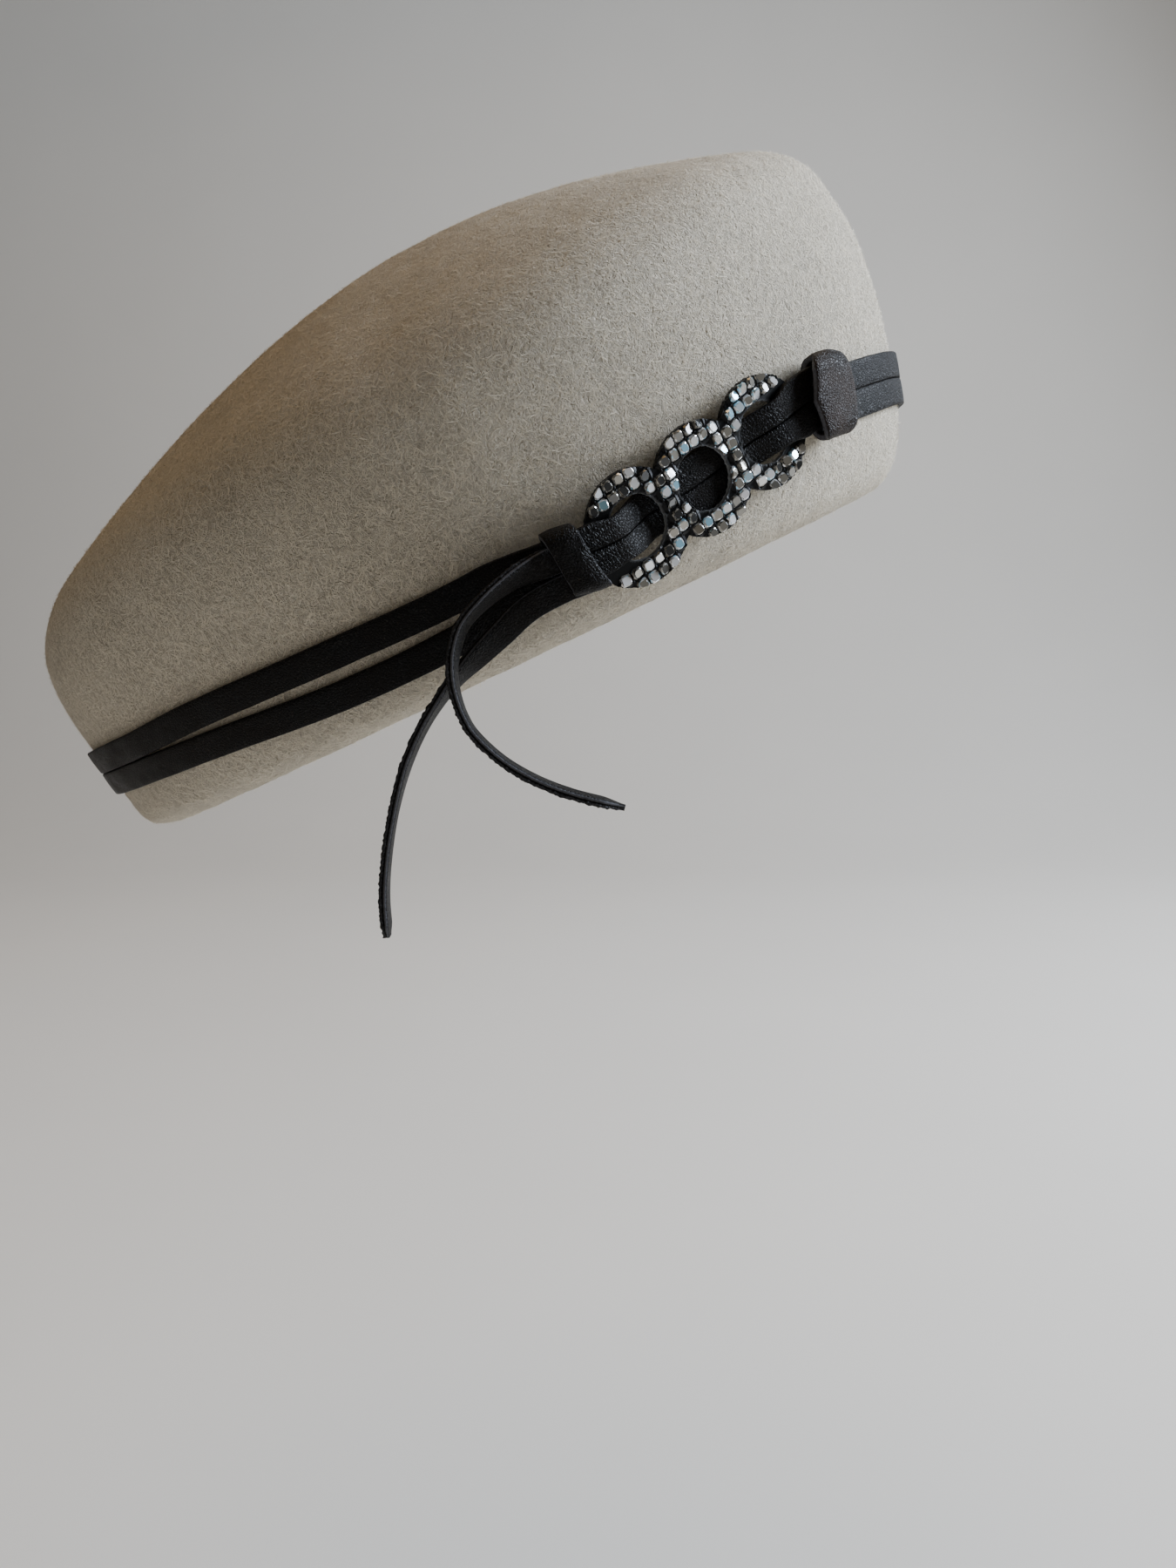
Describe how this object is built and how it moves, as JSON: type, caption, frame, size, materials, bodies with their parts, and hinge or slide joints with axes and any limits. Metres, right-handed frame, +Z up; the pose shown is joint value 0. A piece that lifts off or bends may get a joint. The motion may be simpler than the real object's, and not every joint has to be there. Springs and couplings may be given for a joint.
{
  "type": "pillbox hat",
  "caption": "Brimless felt hat with a domed slanted tip, a double leather strap round the crown, a crystal ring trim and two hanging leather tails.",
  "frame": {"origin": "middle of the head opening, where the head enters the hat", "axes": "+X towards the hat's front, +Y towards the wearer's left, +Z up as worn. The hat's own axis is tilted back 25.3 degrees about Y"},
  "size_m": [0.2201, 0.2098, 0.1736],
  "materials": {
    "felt": "matt wool felt, cream",
    "leather": "pebbled, near black, matt",
    "crystal": "cut crystals in a black square mesh"
  },
  "bodies": {
    "root": {"hat_crown": "felt", "strip_upper": "leather", "strip_lower": "leather", "ring_trim": "crystal", "keeper_front": "leather", "keeper_rear": "leather", "tail_curled": "leather", "tail_long": "leather"}
  },
  "joints": []
}
